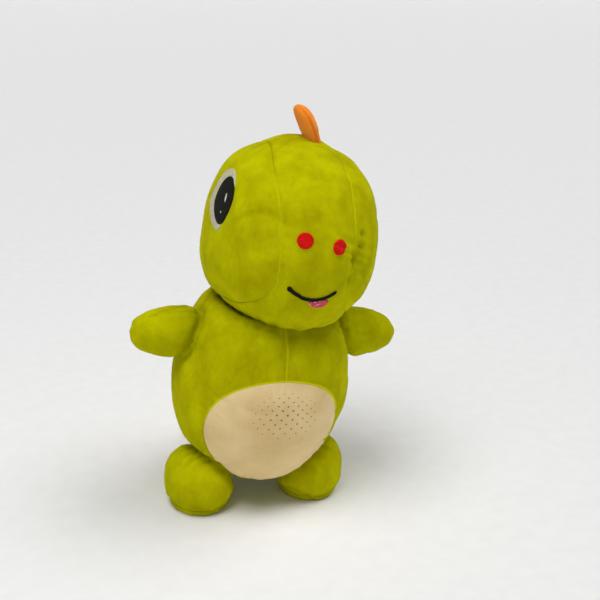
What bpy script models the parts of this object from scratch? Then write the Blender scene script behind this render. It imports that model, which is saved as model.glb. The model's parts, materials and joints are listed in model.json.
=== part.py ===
"""Plush dinosaur that stands on two stubby feet and its tail.

Metres, +Z up. The toy faces -Y and its own left is +X. The origin is on the floor under the
middle of the toy's box. Each stuffed form is a lobe: a rounded body around a centre, wrapped in
plush panels that meet at seams, with the stuffing inside.
"""

from math import cos, degrees, hypot, pi, radians, sin

import bmesh
import bpy
from mathutils import Matrix, Vector

# ---- sewing allowances ------------------------------------------------------------------------
GAP = 0.0004
PLUSH = 0.0026
STUFFING_INSET = 0.0042
SWING_CLEARANCE = 0.0020

# ---- stance -----------------------------------------------------------------------------------
# The torso leans a little to the toy's left over its feet. Places on the torso are given as if it
# stood upright.
STAND_X = -0.0145
STAND_Y = -0.0250
TORSO_LEAN = radians(5.8)
LEAN = Matrix.Rotation(TORSO_LEAN, 3, "Y")
LEAN_FOOT = Vector((STAND_X, STAND_Y, 0.030))


def leaned(x, y, z):
    """A place on the upright torso, in the world once the torso leans."""
    return LEAN_FOOT + LEAN @ Vector((x, y, z - LEAN_FOOT.z))


# ---- torso ------------------------------------------------------------------------------------
TORSO_CENTRE = leaned(0.0, 0.0, 0.1240)
TORSO_HALF_WIDTH = 0.0845
TORSO_HALF_FRONT = 0.0800
TORSO_HALF_BACK = 0.0760
TORSO_UP = 0.1065
TORSO_DOWN = 0.102
TORSO_FULLNESS = (2.08, 2.15)
BELLY_PITCH = radians(-21.7)
BELLY_HALF_WIDTH = radians(49)
BELLY_HALF_HEIGHT = radians(39)

# ---- neck and head ----------------------------------------------------------------------------
NECK_CENTRE = Vector((STAND_X + 0.017, STAND_Y, 0.197))
NECK_FORWARD = radians(4)
NECK_ROLL = radians(12)
NECK_AXIS = Matrix.Rotation(NECK_ROLL, 3, "Y") @ Vector((0, -sin(NECK_FORWARD), cos(NECK_FORWARD)))
HEAD_CENTRE = Vector((STAND_X + 0.0341, STAND_Y - 0.005, 0.2650))
HEAD_HALF_WIDTH = 0.0790
HEAD_FRONT = 0.0958
HEAD_BACK = 0.0890
HEAD_UP = 0.0855
HEAD_DOWN = 0.0905
HEAD_FULLNESS = (2.1, 2.3)
HEAD_YAW = radians(1.2)
HEAD_ROLL = radians(8.3)
# Half angles of the centre panel on each side, in degrees, as places round the head (from under
# the chin over the nose and the top to the back of the neck) and the seam's angle at each.
SEAM_PLACES = {
    "right": (
        (-75, 44), (-46, 34), (-31, 26), (-18, 22), (4, 23.4), (30, 24.4), (55, 26.2), (99, 20.8),
        (190, 24), (285, 44),
    ),
    "left": ((-75, 40), (-30, 22.5), (0, 21.0), (18, 18.2), (46, 17.2), (99, 20.6), (190, 24), (285, 40)),
}

# ---- face -------------------------------------------------------------------------------------
EYE_TURNS = {"right": radians(76), "left": radians(91)}
EYE_RISES = {"right": radians(20), "left": radians(17)}
EYE_LEAN = radians(16)
EYE_WHITE_HALF = (0.0185, 0.0295)
EYE_WHITE_POINT = 0.45
EYE_WHITE_BULGE = 0.30
EYE_PUPIL_HALF = (0.0145, 0.0219)
EYE_PUPIL_POINT = 0.20
# Places on the eye are given forwards and up from its middle.
EYE_WHITE_PLACE = (0.0, 0.0015)
EYE_PUPIL_PLACE = (0.0051, 0.0015)
GLINT_PLACES = {"large": (0.0092, 0.0046), "small": (0.0090, -0.0085)}
GLINT_HALVES = {"large": (0.0013, 0.0042), "small": (0.0010, 0.0018)}
NOSTRIL_TURNS = {"right": radians(-11.3), "left": radians(7.6)}
NOSTRIL_RISES = {"right": radians(9.9), "left": radians(7.9)}
NOSTRIL_RADIUS = 0.0069
MOUTH_TURN = radians(-2.7)
MOUTH_RISE = radians(-20.8)
MOUTH_HALF_TURN = radians(13.4)
MOUTH_CURL = radians(5.0)
MOUTH_RADIUS = 0.0017
TONGUE_TURN = radians(1.9)
TONGUE_HALF = (0.0092, 0.0048)
PAD_LIFT = 0.0004
PAD_THICKNESS = 0.0010

# ---- limbs and tail ---------------------------------------------------------------------------
ARM_PLACE = (0.0768, -0.0045, 0.1690)
ARM_REACH = 0.0535
ARM_HALF_HEIGHT = 0.0253
ARM_HALF_DEPTH = 0.0180
ARM_ROOT = 0.0225
ARM_FULLNESS = 2.25
ARM_RISE = radians(-1)
ARM_SWING = radians(25)
LEG_OUT = 0.0555
LEG_CENTRE = Vector((0.0, STAND_Y - 0.0115, 0.030))
LEG_HALF_WIDTH = 0.0338
LEG_FRONT = 0.0375
LEG_BACK = 0.0360
LEG_UP = 0.0300
LEG_DOWN = 0.0440
LEG_FULLNESS = (2.0, 2.4)
HIP_Y = STAND_Y - 0.004
HIP_Z = 0.040
LEG_SWING_BACK = radians(-12)
LEG_SWING_FORWARD = radians(22)
SOLE_HALF_ANGLE = radians(45)
TAIL_PIVOT = Vector((STAND_X + 0.002, STAND_Y + 0.054, 0.050))
TAIL_DROP = radians(22)
TAIL_REACH = 0.105
TAIL_HALF_WIDTH = 0.034
TAIL_HALF_HEIGHT = 0.036
TAIL_ROOT = 0.026
TAIL_FULLNESS = 1.95
TAIL_SWING = radians(22)

# ---- plates along the back --------------------------------------------------------------------
PLATE_HEIGHT = 0.0345
PLATE_HALF_LENGTH = 0.0170
PLATE_HALF_THICKNESS = 0.0068
# The head's row stands a little to the toy's left of the middle. Each plate has its place round its
# form, its size, and how far it flops to the toy's left.
HEAD_PLATES_ASIDE = radians(2)
HEAD_PLATES = ((radians(87), 1.0, radians(-28)), (radians(151), 0.92, radians(-6)),
               (radians(191), 0.84, radians(4)))
TORSO_PLATES = ((radians(36), 0.92, radians(-3)), (radians(2), 0.92, radians(5)))
TAIL_PLATES = ((radians(58), 0.84, radians(-4)), (radians(26), 0.70, radians(3)))


class Lobe:
    """A stuffed form: elliptical across its own Z, with its own reach and fullness each way."""

    def __init__(self, centre, across, front, back, up, down, full_up, full_down, turn=None):
        self.centre = centre
        self.across = across
        self.depth = (front, back)
        self.height = (up, down)
        self.fullness = (full_up, full_down)
        self.turn = turn or Matrix.Identity(3)
        self.on_floor = False

    def reach(self, direction):
        x, y, z = direction
        depth = self.depth[0] if y < 0 else self.depth[1]
        height, fullness = (self.height[0], self.fullness[0])
        if z < 0:
            height, fullness = (self.height[1], self.fullness[1])
        flat = hypot(x / self.across, y / depth)
        return (flat ** fullness + abs(z / height) ** fullness) ** (-1 / fullness)

    def level(self, point):
        return point.length / self.reach(point.normalized())

    def point(self, direction, inset=0.0):
        """The world point below the surface by inset, in a direction from the lobe's centre."""
        direction = direction.normalized()
        surface = direction * self.reach(direction)
        step = 1e-5
        slope = Vector()
        for i in range(3):
            ahead, behind = surface.copy(), surface.copy()
            ahead[i] += step
            behind[i] -= step
            slope[i] = self.level(ahead) - self.level(behind)
        world = self.centre + self.turn @ (surface - slope.normalized() * inset)
        if self.on_floor:
            world.z = max(world.z, inset)
        return world


def polar(pole, zero, angle, around):
    """The direction at an angle from the pole, turned around it from the zero direction."""
    side = pole.cross(zero)
    return pole * cos(angle) + (zero * cos(around) + side * sin(around)) * sin(angle)


def rings(lobe, pole, zero, start, end, rows, columns, inset):
    """Rings of points round a pole, between two angles that may vary round it."""
    result = []
    for row in range(rows + 1):
        ring = []
        for column in range(columns):
            around = 2 * pi * (column + 0.5) / columns
            first, last = start(around), end(around)
            angle = first + (last - first) * row / rows
            ring.append(lobe.point(polar(pole, zero, angle, around), inset))
        if row == 0 and start(0.0) == 0.0 or row == rows and end(0.0) == pi:
            ring = [lobe.point(pole if row == 0 else -pole, inset)]
        result.append(ring)
    return result


def loft(bm, rows, joined=False):
    """One closed body through rings of points. A ring of one point is a pole."""
    made = [[bm.verts.new(point) for point in ring] for ring in rows]
    pairs = list(zip(made, made[1:]))
    if joined:
        pairs.append((made[-1], made[0]))
    for lower, upper in pairs:
        count = max(len(lower), len(upper))
        for i in range(count):
            after = (i + 1) % count
            corners = [lower[i % len(lower)], lower[after % len(lower)]]
            corners += [upper[after % len(upper)], upper[i % len(upper)]]
            bm.faces.new(list(dict.fromkeys(corners)))
    face_outwards(bm)


def face_outwards(bm):
    """Turns the faces out. The volume is taken about the body's own middle, to keep it exact."""
    bmesh.ops.recalc_face_normals(bm, faces=bm.faces)
    middle = sum((vertex.co for vertex in bm.verts), Vector()) / len(bm.verts)
    bmesh.ops.translate(bm, vec=-middle, verts=bm.verts)
    if bm.calc_volume(signed=True) < 0:
        bmesh.ops.reverse_faces(bm, faces=bm.faces)
    bmesh.ops.translate(bm, vec=middle, verts=bm.verts)


def slice_off(bm, point, normal):
    """Cuts away what lies beyond a plane, on the side its normal points to, and closes the cut."""
    geometry = bm.verts[:] + bm.edges[:] + bm.faces[:]
    bmesh.ops.bisect_plane(
        bm, geom=geometry, plane_co=point, plane_no=normal, dist=1e-7, clear_outer=True
    )
    open_edges = [edge for edge in bm.edges if edge.is_boundary]
    if open_edges:
        bmesh.ops.holes_fill(bm, edges=open_edges, sides=0)
    face_outwards(bm)


# ---- scene bookkeeping ------------------------------------------------------------------------
for leftover in list(bpy.data.objects):
    bpy.data.objects.remove(leftover, do_unlink=True)


def make_material(name, colour, roughness, metallic=0.0):
    material = bpy.data.materials.new(name)
    material.use_nodes = True
    shader = material.node_tree.nodes["Principled BSDF"]
    shader.inputs["Base Color"].default_value = (*colour, 1.0)
    shader.inputs["Roughness"].default_value = roughness
    shader.inputs["Metallic"].default_value = metallic
    material.diffuse_color = (*colour, 1.0)
    return material


GREEN = make_material("green_plush", (0.40, 0.42, 0.012), 0.85)
CREAM = make_material("cream_plush", (0.78, 0.72, 0.56), 0.85)
ORANGE = make_material("orange_plush", (0.80, 0.27, 0.06), 0.80)
FILLING = make_material("white_filling", (0.86, 0.86, 0.84), 0.95)
BLACK = make_material("black_thread", (0.008, 0.008, 0.009), 0.45)
WHITE = make_material("white_thread", (0.80, 0.77, 0.68), 0.50)
RED = make_material("red_thread", (0.62, 0.02, 0.012), 0.45)
PINK = make_material("pink_glitter_felt", (0.80, 0.18, 0.22), 0.50)

PIVOTS = {}


def add_body(name, pivot, parent=None):
    """An empty on a joint's axis, which carries the pieces that move together."""
    empty = bpy.data.objects.new(f"{name}_body", None)
    bpy.context.collection.objects.link(empty)
    empty.location = pivot
    if parent:
        empty.parent = bpy.data.objects[f"{parent}_body"]
        empty.location = pivot - PIVOTS[parent]
    PIVOTS[name] = pivot
    return empty


def add_piece(name, bm, material, body):
    for vertex in bm.verts:
        vertex.co -= PIVOTS[body]
    mesh = bpy.data.meshes.new(name)
    bm.to_mesh(mesh)
    bm.free()
    mesh.materials.append(material)
    mesh.shade_smooth()
    mesh.set_sharp_from_angle(angle=radians(45))
    piece = bpy.data.objects.new(name, mesh)
    bpy.context.collection.objects.link(piece)
    piece.parent = bpy.data.objects[f"{body}_body"]
    return piece


def no_angle(_around):
    return 0.0


def half_turn(_around):
    return pi


def panel_mesh(lobe, pole, zero, start, end, rows, columns):
    """A plush panel between two angles from a pole, from its pile down to its backing."""
    outer = rings(lobe, pole, zero, start, end, rows, columns, 0.0)
    inner = rings(lobe, pole, zero, start, end, rows, columns, PLUSH)
    if len(outer[-1]) == 1:
        outer.reverse()
        inner.reverse()
    bm = bmesh.new()
    loft(bm, outer + inner[::-1], joined=len(outer[0]) > 1)
    return bm


def stuffing_mesh(lobe, pole, zero, rows, columns):
    bm = bmesh.new()
    loft(bm, rings(lobe, pole, zero, no_angle, half_turn, rows, columns, STUFFING_INSET))
    return bm


def half_edge(radius):
    """Half a form, as an angle from a pole, less half the gap of the seam."""
    return lambda _around: pi / 2 - GAP / 2 / radius


# ---- bodies -----------------------------------------------------------------------------------
UP = Vector((0.0, 0.0, 1.0))
LEFT = Vector((1.0, 0.0, 0.0))
FORWARD = Vector((0.0, -1.0, 0.0))
SIDES = {"left": 1, "right": -1}


add_body("torso", TORSO_CENTRE)
add_body("head", NECK_CENTRE, "torso")
for side_name, side in SIDES.items():
    arm_out, arm_y, arm_z = ARM_PLACE
    add_body(f"arm_{side_name}", leaned(side * arm_out, arm_y, arm_z), "torso")
    add_body(f"leg_{side_name}", Vector((STAND_X + side * LEG_OUT, HIP_Y, HIP_Z)), "torso")
add_body("tail", TAIL_PIVOT, "torso")


# ---- torso ------------------------------------------------------------------------------------
torso = Lobe(
    TORSO_CENTRE, TORSO_HALF_WIDTH, TORSO_HALF_FRONT, TORSO_HALF_BACK,
    TORSO_UP, TORSO_DOWN, *TORSO_FULLNESS, LEAN,
)
belly_pole = FORWARD * cos(BELLY_PITCH) + UP * sin(BELLY_PITCH)
belly_up = UP * cos(BELLY_PITCH) - FORWARD * sin(BELLY_PITCH)


def belly_edge(around):
    """The belly panel's half angle: an oval, wider than it is high."""
    return 1 / hypot(cos(around) / BELLY_HALF_HEIGHT, sin(around) / BELLY_HALF_WIDTH)


def belly_inner_edge(around):
    return belly_edge(around) - GAP / TORSO_HALF_FRONT


neck_cut_torso = (NECK_CENTRE - NECK_AXIS * GAP, NECK_AXIS)
neck_cut_head = (NECK_CENTRE + NECK_AXIS * GAP, -NECK_AXIS)

torso_pieces = []
for side_name, side in SIDES.items():
    bm = panel_mesh(torso, belly_pole, belly_up, belly_edge, half_turn, 10, 28)
    leaned_left = LEAN @ LEFT
    slice_off(bm, TORSO_CENTRE + leaned_left * (side * GAP / 2), leaned_left * -side)
    slice_off(bm, *neck_cut_torso)
    torso_pieces.append(add_piece(f"torso_panel_{side_name}", bm, GREEN, "torso"))
torso_pieces.append(add_piece(
    "belly_panel",
    panel_mesh(torso, belly_pole, belly_up, no_angle, belly_inner_edge, 4, 28),
    CREAM, "torso",
))
torso_stuffing = stuffing_mesh(torso, belly_pole, belly_up, 14, 28)
slice_off(torso_stuffing, *neck_cut_torso)
torso_pieces.append(add_piece("torso_stuffing", torso_stuffing, FILLING, "torso"))


# ---- head -------------------------------------------------------------------------------------
head_turn = Matrix.Rotation(HEAD_YAW, 3, "Z") @ Matrix.Rotation(HEAD_ROLL, 3, "Y")
head = Lobe(
    HEAD_CENTRE, HEAD_HALF_WIDTH, HEAD_FRONT, HEAD_BACK,
    HEAD_UP, HEAD_DOWN, *HEAD_FULLNESS, head_turn,
)


def seam_angle(side_name, around):
    """The centre panel's half angle, on a smooth curve through its places round the head."""
    places = SEAM_PLACES[side_name]
    first = places[0][0]
    place = first + (degrees(around) - first) % 360
    keys = (places[-2], *places, places[1])
    steps = [b[0] - a[0] if b[0] > a[0] else b[0] - a[0] + 360 for a, b in zip(keys, keys[1:])]
    for i in range(1, len(keys) - 2):
        if place <= keys[i + 1][0]:
            break
    before, low, high, after = (key[1] for key in keys[i - 1:i + 3])
    span = steps[i]
    slope_low = (high - before) / (steps[i - 1] + span)
    slope_high = (after - low) / (span + steps[i + 1])
    share = (place - keys[i][0]) / span
    value = low + slope_low * span * share
    value += (3 * (high - low) - (2 * slope_low + slope_high) * span) * share ** 2
    value += ((slope_low + slope_high) * span - 2 * (high - low)) * share ** 3
    return radians(value)


def side_panel_edge(side_name):
    """A side panel's angle from its own pole, at each angle round the head."""
    return lambda around: pi / 2 - seam_angle(side_name, -SIDES[side_name] * around)


SEAM_ANGLE = GAP / HEAD_HALF_WIDTH
head_centre = panel_mesh(
    head, LEFT, FORWARD,
    lambda around: pi / 2 - seam_angle("left", -around) + SEAM_ANGLE,
    lambda around: pi / 2 + seam_angle("right", -around) - SEAM_ANGLE, 5, 32,
)
slice_off(head_centre, *neck_cut_head)
add_piece("head_centre_panel", head_centre, GREEN, "head")
for side_name, side in SIDES.items():
    bm = panel_mesh(head, LEFT * side, FORWARD, no_angle, side_panel_edge(side_name), 5, 32)
    slice_off(bm, *neck_cut_head)
    add_piece(f"head_side_panel_{side_name}", bm, GREEN, "head")
head_stuffing = stuffing_mesh(head, LEFT, FORWARD, 12, 24)
slice_off(head_stuffing, *neck_cut_head)
add_piece("head_stuffing", head_stuffing, FILLING, "head")


# ---- face -------------------------------------------------------------------------------------
def face_direction(turn, rise):
    """A direction from the head's centre, turned to the toy's left and raised."""
    return Vector((sin(turn) * cos(rise), -cos(turn) * cos(rise), sin(rise)))


def face_pad(name, centre, outline, level, material, place=(0.0, 0.0), rows=2):
    """A thin pad that follows the head. Its outline runs round a place across and up from the
    centre direction, in metres."""
    reach = head.reach(centre)
    across = UP.cross(centre).normalized()
    up = centre.cross(across).normalized()
    middle = centre * reach + across * place[0] + up * place[1]
    low = PAD_LIFT + level * (PAD_THICKNESS + PAD_LIFT)
    sheets = []
    for lift in (low + PAD_THICKNESS, low):
        sheet = [[head.point(middle, -lift)]]
        for row in range(1, rows + 1):
            share = row / rows
            sheet.append([
                head.point(middle + across * (s * share) + up * (t * share), -lift)
                for s, t in outline
            ])
        sheets.append(sheet)
    bm = bmesh.new()
    loft(bm, sheets[0] + sheets[1][::-1])
    add_piece(name, bm, material, "head")


def oval(half_width, half_height, lean=0.0, point=0.0, bulge=0.0, count=20):
    """An oval outline. A point above 0 draws its lower end in, as on a teardrop, and a bulge
    fills out one of its sides: the far one across when it is below 0."""
    outline = []
    for i in range(count):
        around = 2 * pi * i / count
        s, t = half_width * sin(around), half_height * cos(around)
        s *= 1 + point * min(t / half_height, 0.0)
        if s * bulge < 0:
            s *= 1 + abs(bulge)
        outline.append((s * cos(lean) - t * sin(lean), s * sin(lean) + t * cos(lean)))
    return outline


def forwards_and_up(place, side):
    """A place given forwards and up, on the side's own pad axes."""
    return (-side * place[0], place[1])


for side_name, side in SIDES.items():
    centre = face_direction(side * EYE_TURNS[side_name], EYE_RISES[side_name])
    lean = -side * EYE_LEAN
    face_pad(
        f"eye_white_{side_name}", centre,
        oval(*EYE_WHITE_HALF, lean=lean, point=EYE_WHITE_POINT, bulge=-side * EYE_WHITE_BULGE), 0, WHITE,
        place=forwards_and_up(EYE_WHITE_PLACE, side),
    )
    face_pad(
        f"eye_pupil_{side_name}", centre, oval(*EYE_PUPIL_HALF, lean=lean, point=EYE_PUPIL_POINT), 1,
        BLACK, place=forwards_and_up(EYE_PUPIL_PLACE, side),
    )
    for glint, place in GLINT_PLACES.items():
        face_pad(
            f"eye_glint_{glint}_{side_name}", centre,
            oval(*GLINT_HALVES[glint], lean=lean, count=10), 2, WHITE,
            place=forwards_and_up(place, side), rows=1,
        )
    face_pad(
        f"nostril_{side_name}", face_direction(NOSTRIL_TURNS[side_name], NOSTRIL_RISES[side_name]),
        oval(NOSTRIL_RADIUS, NOSTRIL_RADIUS, count=14), 0, RED,
    )


def mouth_direction(share):
    """The smile's centre line, from -1 at the toy's right corner to 1 at its left."""
    turn = MOUTH_TURN + MOUTH_HALF_TURN * share
    return face_direction(turn, MOUTH_RISE + MOUTH_CURL * share * share)


def add_mouth(steps=12, sides=6):
    bm = bmesh.new()
    lift = PAD_LIFT + MOUTH_RADIUS
    middle = [head.point(mouth_direction(2 * i / steps - 1), -lift) for i in range(steps + 1)]
    rows = [[middle[0]]]
    for before, here, after in zip(middle, middle[1:], middle[2:]):
        along = (after - before).normalized()
        out = (here - HEAD_CENTRE).normalized()
        across = along.cross(out).normalized()
        out = across.cross(along)
        ring = []
        for k in range(sides):
            around = 2 * pi * k / sides
            ring.append(here + (out * cos(around) + across * sin(around)) * MOUTH_RADIUS)
        rows.append(ring)
    rows.append([middle[-1]])
    loft(bm, rows)
    add_piece("mouth_line", bm, BLACK, "head")


add_mouth()
tongue_top = MOUTH_RISE - (MOUTH_RADIUS * 2 + GAP + TONGUE_HALF[1]) / HEAD_FRONT
face_pad("tongue", face_direction(TONGUE_TURN, tongue_top), oval(*TONGUE_HALF, count=16), 0, PINK)


# ---- plates -----------------------------------------------------------------------------------
def add_plate(name, body, root, surface_out, out, along, size):
    """A stuffed petal on its rounded foot, which turns about the line along its foot."""
    across = out.cross(along).normalized()
    radius = PLATE_HALF_THICKNESS * size
    pivot = root + surface_out * (radius + GAP)
    add_body(name, pivot, body)
    height, length = PLATE_HEIGHT * size - radius, PLATE_HALF_LENGTH * size
    rows = [[pivot - out * radius]]
    profile = [(-0.75, 0.90, 0.66), (-0.3, 0.98, 0.95)]
    steps, sides = 5, 10
    for i in range(steps):
        share = i / steps
        swell = (1 - share ** 2.6) ** 0.55
        profile.append((share * height / radius, swell + 0.05 * sin(pi * share), swell))
    for rise, chord, thick in profile:
        ring = []
        for k in range(sides):
            around = 2 * pi * k / sides
            ring.append(
                pivot + out * (rise * radius)
                + along * (cos(around) * chord * length)
                + across * (sin(around) * thick * radius)
            )
        rows.append(ring)
    rows.append([pivot + out * height])
    bm = bmesh.new()
    loft(bm, rows)
    add_piece(name, bm, ORANGE, name)


def plate_on(lobe, name, body, direction, size, flop):
    """A plate on a lobe's middle line, square to the surface but for its flop to one side."""
    root = lobe.point(direction)
    out = (root - lobe.point(direction, 0.001)).normalized()
    middle = (lobe.turn @ LEFT).normalized()
    along = out.cross(middle).normalized()
    leaning = (out * cos(flop) + middle * sin(flop)).normalized()
    add_plate(name, body, root, out, leaning, along, size)


for number, (angle, size, flop) in enumerate(HEAD_PLATES, 1):
    middle = FORWARD * cos(angle) + UP * sin(angle)
    direction = middle * cos(HEAD_PLATES_ASIDE) + LEFT * sin(HEAD_PLATES_ASIDE)
    plate_on(head, f"head_plate_{number}", "head", direction, size, flop)
for number, (rise, size, flop) in enumerate(TORSO_PLATES, 1):
    direction = UP * sin(rise) - FORWARD * cos(rise)
    plate_on(torso, f"back_plate_{number}", "torso", direction, size, flop)


# ---- limbs and tail ---------------------------------------------------------------------------
def frame_from(axis, across):
    """A turn that takes a lobe's own Z to an axis and its own X as near as may be to another."""
    z = axis.normalized()
    y = z.cross(across).normalized()
    x = y.cross(z)
    return Matrix((x, y, z)).transposed()


def swing_room(name, lobe, pivot, axis, low, high, steps=3):
    """The room that a limb sweeps while it swings, as one convex cutter."""
    bm = bmesh.new()
    points = [
        point
        for ring in rings(lobe, UP, LEFT, no_angle, half_turn, 11, 18, -SWING_CLEARANCE)
        for point in ring
    ]
    for step in range(steps + 1):
        turn = Matrix.Rotation(low + (high - low) * step / steps, 3, axis)
        for point in points:
            bm.verts.new(pivot + turn @ (point - pivot))
    hull = bmesh.ops.convex_hull(bm, input=bm.verts[:])
    loose = {item for item in hull["geom_interior"] + hull["geom_unused"]}
    bmesh.ops.delete(bm, geom=[v for v in loose if isinstance(v, bmesh.types.BMVert)])
    face_outwards(bm)
    mesh = bpy.data.meshes.new(name)
    bm.to_mesh(mesh)
    bm.free()
    cutter = bpy.data.objects.new(name, mesh)
    bpy.context.collection.objects.link(cutter)
    cutter.hide_render = True
    cutter.display_type = "WIRE"
    return cutter


def cut_from(pieces, cutter):
    for piece in pieces:
        boolean = piece.modifiers.new(cutter.name, "BOOLEAN")
        boolean.operation = "DIFFERENCE"
        boolean.solver = "EXACT"
        boolean.object = cutter


def add_arm(side_name, side):
    body = f"arm_{side_name}"
    pivot = PIVOTS[body]
    outward = LEAN @ Vector((side * cos(ARM_RISE), 0.0, sin(ARM_RISE)))
    arm = Lobe(
        pivot, ARM_HALF_HEIGHT, ARM_HALF_DEPTH, ARM_HALF_DEPTH,
        ARM_REACH, ARM_ROOT, ARM_FULLNESS, 2.0, frame_from(outward, LEAN @ UP),
    )
    front = arm.turn.inverted() @ FORWARD
    for panel, pole in (("front", front), ("back", -front)):
        bm = panel_mesh(arm, pole, UP, no_angle, half_edge(ARM_HALF_HEIGHT), 4, 18)
        add_piece(f"{body}_{panel}_panel", bm, GREEN, body)
    add_piece(f"{body}_stuffing", stuffing_mesh(arm, front, UP, 8, 18), FILLING, body)
    room = swing_room(f"{body}_room", arm, pivot, FORWARD, -ARM_SWING, ARM_SWING)
    cut_from(torso_pieces, room)


def add_leg(side_name, side):
    body = f"leg_{side_name}"
    leg = Lobe(
        LEG_CENTRE + LEFT * (STAND_X + side * LEG_OUT), LEG_HALF_WIDTH, LEG_FRONT, LEG_BACK,
        LEG_UP, LEG_DOWN, *LEG_FULLNESS,
    )
    leg.on_floor = True

    def sole_edge(_around):
        return SOLE_HALF_ANGLE

    def upper_edge(_around):
        return SOLE_HALF_ANGLE + GAP / LEG_HALF_WIDTH

    sole = panel_mesh(leg, -UP, FORWARD, no_angle, sole_edge, 3, 18)
    upper = panel_mesh(leg, -UP, FORWARD, upper_edge, half_turn, 9, 18)
    add_piece(f"{body}_sole", sole, GREEN, body)
    add_piece(f"{body}_upper_panel", upper, GREEN, body)
    add_piece(f"{body}_stuffing", stuffing_mesh(leg, -UP, FORWARD, 12, 18), FILLING, body)
    room = swing_room(
        f"{body}_room", leg, PIVOTS[body], -LEFT, LEG_SWING_BACK, LEG_SWING_FORWARD
    )
    cut_from(torso_pieces, room)


for side_name, side in SIDES.items():
    add_arm(side_name, side)
    add_leg(side_name, side)

tail_axis = Vector((0.0, cos(TAIL_DROP), -sin(TAIL_DROP)))
tail = Lobe(
    TAIL_PIVOT, TAIL_HALF_WIDTH, TAIL_HALF_HEIGHT, TAIL_HALF_HEIGHT,
    TAIL_REACH, TAIL_ROOT, TAIL_FULLNESS, 2.0, frame_from(tail_axis, LEFT),
)
tail.on_floor = True
for side_name, side in SIDES.items():
    bm = panel_mesh(tail, LEFT * side, UP, no_angle, half_edge(TAIL_HALF_HEIGHT), 5, 20)
    add_piece(f"tail_panel_{side_name}", bm, GREEN, "tail")
add_piece("tail_stuffing", stuffing_mesh(tail, LEFT, UP, 10, 20), FILLING, "tail")
cut_from(torso_pieces, swing_room("tail_room", tail, TAIL_PIVOT, UP, -TAIL_SWING, TAIL_SWING))
for number, (rise, size, flop) in enumerate(TAIL_PLATES, 1):
    direction = UP * cos(rise) - Vector((0.0, 1.0, 0.0)) * sin(rise)
    plate_on(tail, f"tail_plate_{number}", "tail", direction, size, flop)
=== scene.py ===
"""The looks of a stuffed dinosaur: sewn plush panels, embroidery and plates around the CAD frame.

Metres, +Z up. The toy faces -Y and its own left is +X.
"""

import json
from math import cos, pi, radians, sin

import bmesh
import bpy
import numpy as np
from mathutils import Matrix, Vector, noise
from mathutils.bvhtree import BVHTree


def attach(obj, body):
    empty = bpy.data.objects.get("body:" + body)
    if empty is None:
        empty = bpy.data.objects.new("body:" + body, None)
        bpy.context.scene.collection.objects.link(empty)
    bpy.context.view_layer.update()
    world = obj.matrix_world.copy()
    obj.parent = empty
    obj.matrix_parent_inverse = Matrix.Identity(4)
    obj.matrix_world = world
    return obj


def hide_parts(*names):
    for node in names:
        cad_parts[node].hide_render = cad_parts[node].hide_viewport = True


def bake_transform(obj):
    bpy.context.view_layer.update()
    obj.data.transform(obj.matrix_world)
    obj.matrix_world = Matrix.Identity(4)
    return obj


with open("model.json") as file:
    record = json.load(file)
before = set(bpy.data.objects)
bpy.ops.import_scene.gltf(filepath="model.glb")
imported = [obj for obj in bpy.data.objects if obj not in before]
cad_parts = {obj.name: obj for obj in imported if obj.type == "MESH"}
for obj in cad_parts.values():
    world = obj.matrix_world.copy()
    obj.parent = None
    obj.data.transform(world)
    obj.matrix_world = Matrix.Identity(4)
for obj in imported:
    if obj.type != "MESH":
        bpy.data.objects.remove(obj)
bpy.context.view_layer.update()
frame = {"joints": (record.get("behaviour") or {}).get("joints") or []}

LEFT = np.array((1.0, 0.0, 0.0))
FORWARD = np.array((0.0, -1.0, 0.0))
UP = np.array((0.0, 0.0, 1.0))
SIDES = {"left": 1, "right": -1}
JOINTS = {joint["name"]: joint for joint in frame["joints"]}

# ---- sewing ----
PLUSH = 0.0024
STITCH = 0.0034
STITCH_PULL = 0.0004
STITCH_REACH = 0.002
SEAM_DEPTH = 0.0008
SEAM_WIDTH = 0.0007
ROLL_DEPTH = 0.0004
ROLL_WIDTH = 0.0050
PUCKER = 0.00060
PUCKER_PITCH = 0.0095
PUCKER_START = 0.0025
PUCKER_REACH = 0.011
JOIN_WIDTH = 0.0045
JOIN_PITCH = 0.012
JOIN_REACH = 0.010
FOLD_CAP = 0.0012
CREASE_DEPTH = 0.0016
CREASE_SCALE = 17.0
CREASE_WIDTH = 0.05
FILL_INSET = 0.0090
FILL_SHRINK = 0.01
TUCK = 0.0070
LUMP = 0.0007
LUMP_SCALE = 24.0
FLOOR_GAP = 0.0004


def place_of(name):
    return np.array(JOINTS[name]["pos_m"])


def rotation(degrees, axis):
    return np.array(Matrix.Rotation(radians(degrees), 3, axis))


def unit(v):
    return v / np.linalg.norm(v, axis=-1, keepdims=True)


def polar(pole, zero, angle, around):
    """Directions at an angle from the pole, turned round it from the zero direction."""
    side = np.cross(pole, zero)
    a, b = angle[..., None], np.broadcast_to(around, angle.shape)[..., None]
    return pole * np.cos(a) + (zero * np.cos(b) + side * np.sin(b)) * np.sin(a)


def wave(s, period):
    """An uneven ripple along a seam, from about -1 to 1."""
    drift = 1.4 * np.sin(2 * pi * s / (period * 4.3))
    swell = 0.55 + 0.45 * np.sin(2 * pi * s / (period * 7.1) + 1.0)
    return np.sin(2 * pi * s / period + drift) * swell


def full_turn(count):
    return np.linspace(0, 2 * pi, count, endpoint=False)


def bell(x, width):
    return np.exp(-(x / width) ** 2)


def noise_at(points, scale):
    values = [noise.noise(Vector(p) * scale) for p in points.reshape(-1, 3)]
    return np.array(values).reshape(points.shape[:-1])


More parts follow.
